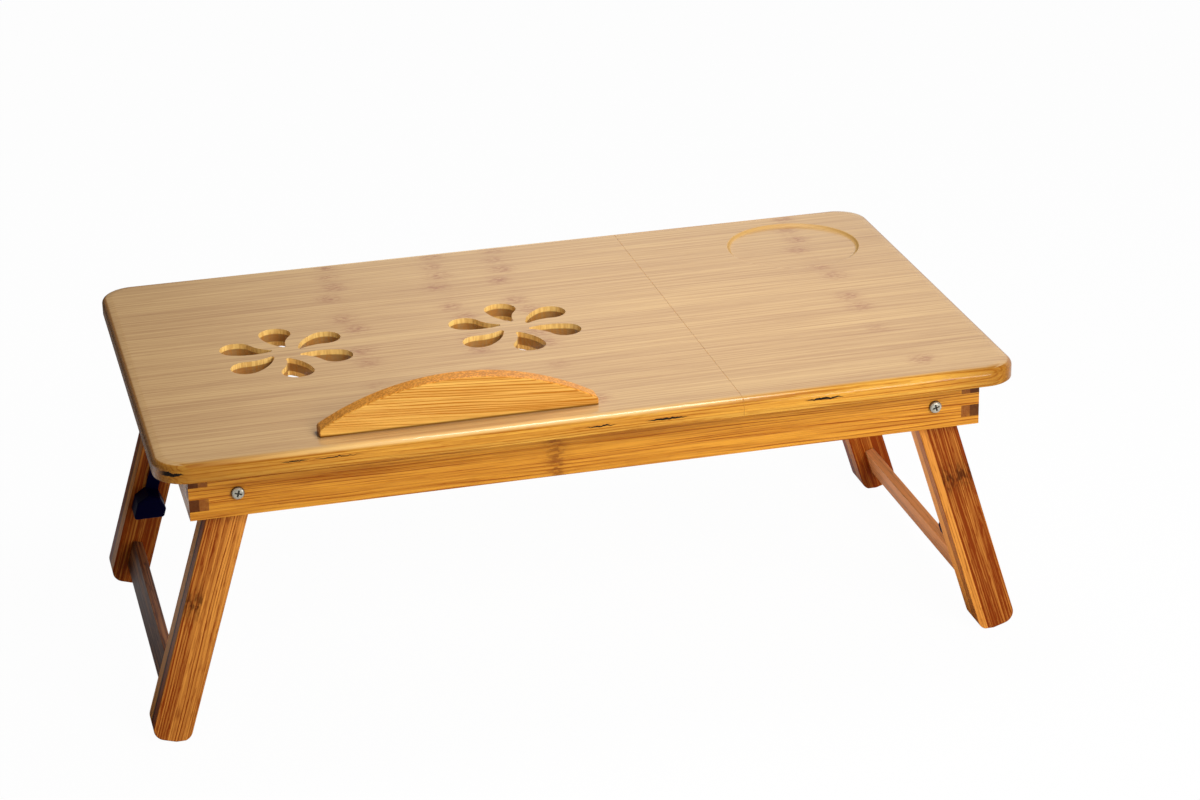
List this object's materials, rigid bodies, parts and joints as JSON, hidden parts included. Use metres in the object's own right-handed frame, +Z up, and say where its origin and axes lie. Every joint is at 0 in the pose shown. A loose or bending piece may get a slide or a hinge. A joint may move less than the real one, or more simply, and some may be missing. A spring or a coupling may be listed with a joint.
{
  "type": "folding laptop bed desk",
  "caption": "Low bamboo bed desk with folding splayed legs, a vented panel that tilts on a notched prop, a book stop, a mug well and a small drawer in its right end.",
  "frame": {"origin": "on the floor, under the middle of the desk", "axes": "+X to the user's right along the long side, +Y away from the user, +Z up"},
  "size_m": [0.5736, 0.325, 0.2291],
  "materials": {
    "top_bamboo": "pale tan lacquered bamboo strips, semi-gloss",
    "stop_bamboo": "amber lacquered bamboo, semi-gloss",
    "rail_bamboo": "amber lacquered bamboo, semi-gloss",
    "leg_bamboo": "reddish-amber lacquered bamboo, semi-gloss",
    "stretcher_bamboo": "darker brown lacquered bamboo",
    "inner_bamboo": "plain bamboo, satin",
    "drawer_bamboo": "lacquered bamboo, satin",
    "drawer_board": "thin plain board, satin",
    "nickel": "nickel plated",
    "hinge_brass": "brass plated, satin",
    "steel": "zinc plated",
    "insert_brass": "plain brass",
    "nylon": "white nylon",
    "lock_plastic": "navy-black moulded plastic, semi-gloss"
  },
  "bodies": {
    "frame": {"front_rail": "rail_bamboo", "back_rail": "rail_bamboo", "left_end_rail": "rail_bamboo", "right_end_rail": "rail_bamboo", "center_rail": "inner_bamboo", "seam_batten": "inner_bamboo", "rack_front_batten": "inner_bamboo", "rack_rear_batten": "inner_bamboo", "prop_rack_left": "inner_bamboo", "prop_rack_right": "inner_bamboo", "fixed_panel": "top_bamboo", "panel_dowels": "inner_bamboo", "drawer_near_runner": "inner_bamboo", "drawer_far_runner": "inner_bamboo", "tilt_hinge_frame_leaves": "hinge_brass", "tilt_hinge_pins": "steel", "tilt_hinge_frame_screws": "hinge_brass", "left_lock_keeper": "steel", "right_lock_keeper": "steel", "keeper_screws": "nickel"},
    "tilt_top": {"tilt_panel": "top_bamboo", "book_stop": "stop_bamboo", "book_stop_screws": "nickel", "tilt_hinge_panel_leaves": "hinge_brass", "tilt_hinge_panel_screws": "hinge_brass", "prop_brackets": "inner_bamboo"},
    "prop": {"prop_left_arm": "inner_bamboo", "prop_right_arm": "inner_bamboo", "prop_foot_bar": "inner_bamboo", "prop_pivot_rod": "steel"},
    "left_legs": {"left_front_leg": "leg_bamboo", "left_rear_leg": "leg_bamboo", "left_stretcher": "stretcher_bamboo", "left_pivot_screws": "nickel", "left_pivot_washers": "nylon", "left_pivot_inserts": "insert_brass"},
    "right_legs": {"right_front_leg": "leg_bamboo", "right_rear_leg": "leg_bamboo", "right_stretcher": "stretcher_bamboo", "right_pivot_screws": "nickel", "right_pivot_washers": "nylon", "right_pivot_inserts": "insert_brass"},
    "left_lock": {"left_lock_slider": "lock_plastic"},
    "right_lock": {"right_lock_slider": "lock_plastic"},
    "drawer": {"drawer_face": "rail_bamboo", "drawer_near_side": "drawer_bamboo", "drawer_far_side": "drawer_bamboo", "drawer_back": "drawer_bamboo", "drawer_bottom": "drawer_board", "drawer_knob": "drawer_bamboo", "drawer_knob_screw": "nickel"}
  },
  "joints": [
    {"name": "tilt", "type": "hinge", "parent": "frame", "child": "tilt_top", "pos_m": [-0.092, -0.1446, 0.1885], "axis": [1, 0, 0], "range_deg": [0, 30]},
    {"name": "prop_swing", "type": "hinge", "parent": "tilt_top", "child": "prop", "pos_m": [-0.0946, -0.0386, 0.1845], "axis": [-1, 0, 0], "range_deg": [0, 60]},
    {"name": "left_fold", "type": "hinge", "parent": "frame", "child": "left_legs", "pos_m": [-0.2245, 0, 0.1704], "axis": [0, -1, 0], "range_deg": [0, 107.17]},
    {"name": "right_fold", "type": "hinge", "parent": "frame", "child": "right_legs", "pos_m": [0.2245, 0, 0.1704], "axis": [0, 1, 0], "range_deg": [0, 107.17]},
    {"name": "left_lock_slide", "type": "slide", "parent": "left_legs", "child": "left_lock", "axis": [0.2953, 0, 0.9554], "range_m": [0, 0.006]},
    {"name": "right_lock_slide", "type": "slide", "parent": "right_legs", "child": "right_lock", "axis": [-0.2953, 0, 0.9554], "range_m": [0, 0.006]},
    {"name": "drawer_slide", "type": "slide", "parent": "frame", "child": "drawer", "axis": [1, 0, 0], "range_m": [0, 0.11]}
  ],
  "couplings": [
    {"joint": "prop_swing", "follows": "tilt", "ratio": 2}
  ]
}
